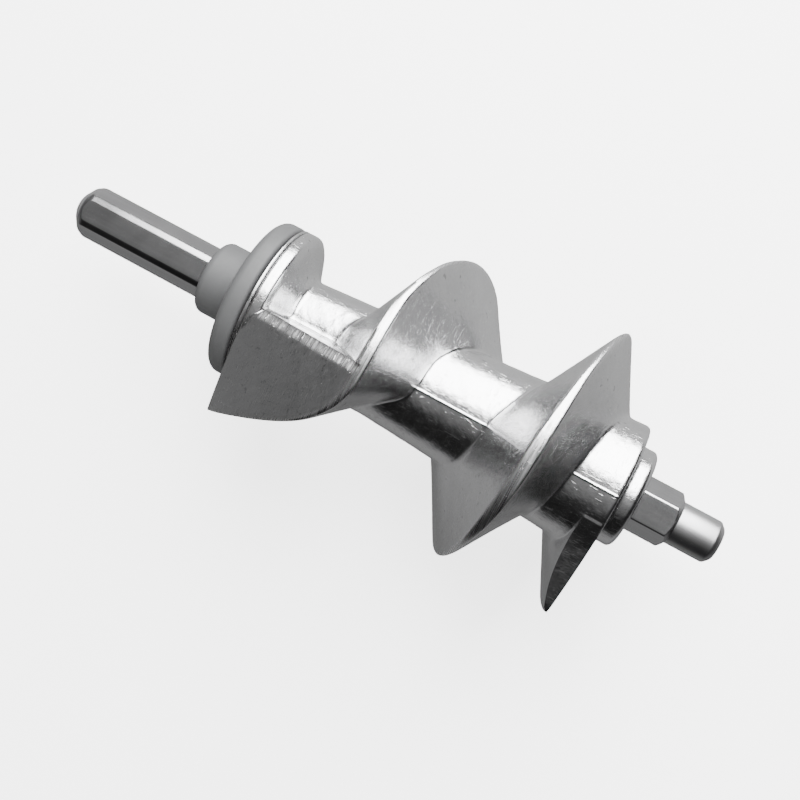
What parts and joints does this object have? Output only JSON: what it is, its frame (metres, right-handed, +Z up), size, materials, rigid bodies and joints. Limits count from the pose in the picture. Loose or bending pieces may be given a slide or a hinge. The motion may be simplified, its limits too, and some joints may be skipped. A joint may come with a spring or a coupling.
{
  "type": "meat grinder feed worm",
  "caption": "Die-cast left-hand feed worm on a hexagon drive shaft, with a front pilot pin, a loose steel thrust washer and a flanged plastic bush.",
  "frame": {"origin": "centre of the drive shaft's rear end face", "axes": "+X along the shaft towards the pilot pin; +Z up with the worm lying on its side; the parting plane of the casting is the XZ plane"},
  "size_m": [0.1327, 0.0509, 0.0512],
  "materials": {
    "turned_steel": "drawn hexagon bar with a turned point and pin, satin",
    "cast_aluminium": "tumbled die casting, bright, with turned crest lands and a trimmed parting line",
    "washer_steel": "stamped sheet, satin",
    "bush_plastic": "moulded, grey, matt"
  },
  "bodies": {
    "worm": {"drive_shaft": "turned_steel", "screw_casting": "cast_aluminium"},
    "thrust_washer": {"thrust_washer": "washer_steel"},
    "bush": {"bush": "bush_plastic"}
  },
  "joints": [
    {"name": "washer_slide", "type": "slide", "parent": "worm", "child": "thrust_washer", "axis": [-1, 0, 0], "range_m": [0, 0.044]},
    {"name": "bush_spin", "type": "hinge", "parent": "thrust_washer", "child": "bush", "pos_m": [0.0385, 0, 0], "axis": [1, 0, 0], "continuous": true}
  ]
}
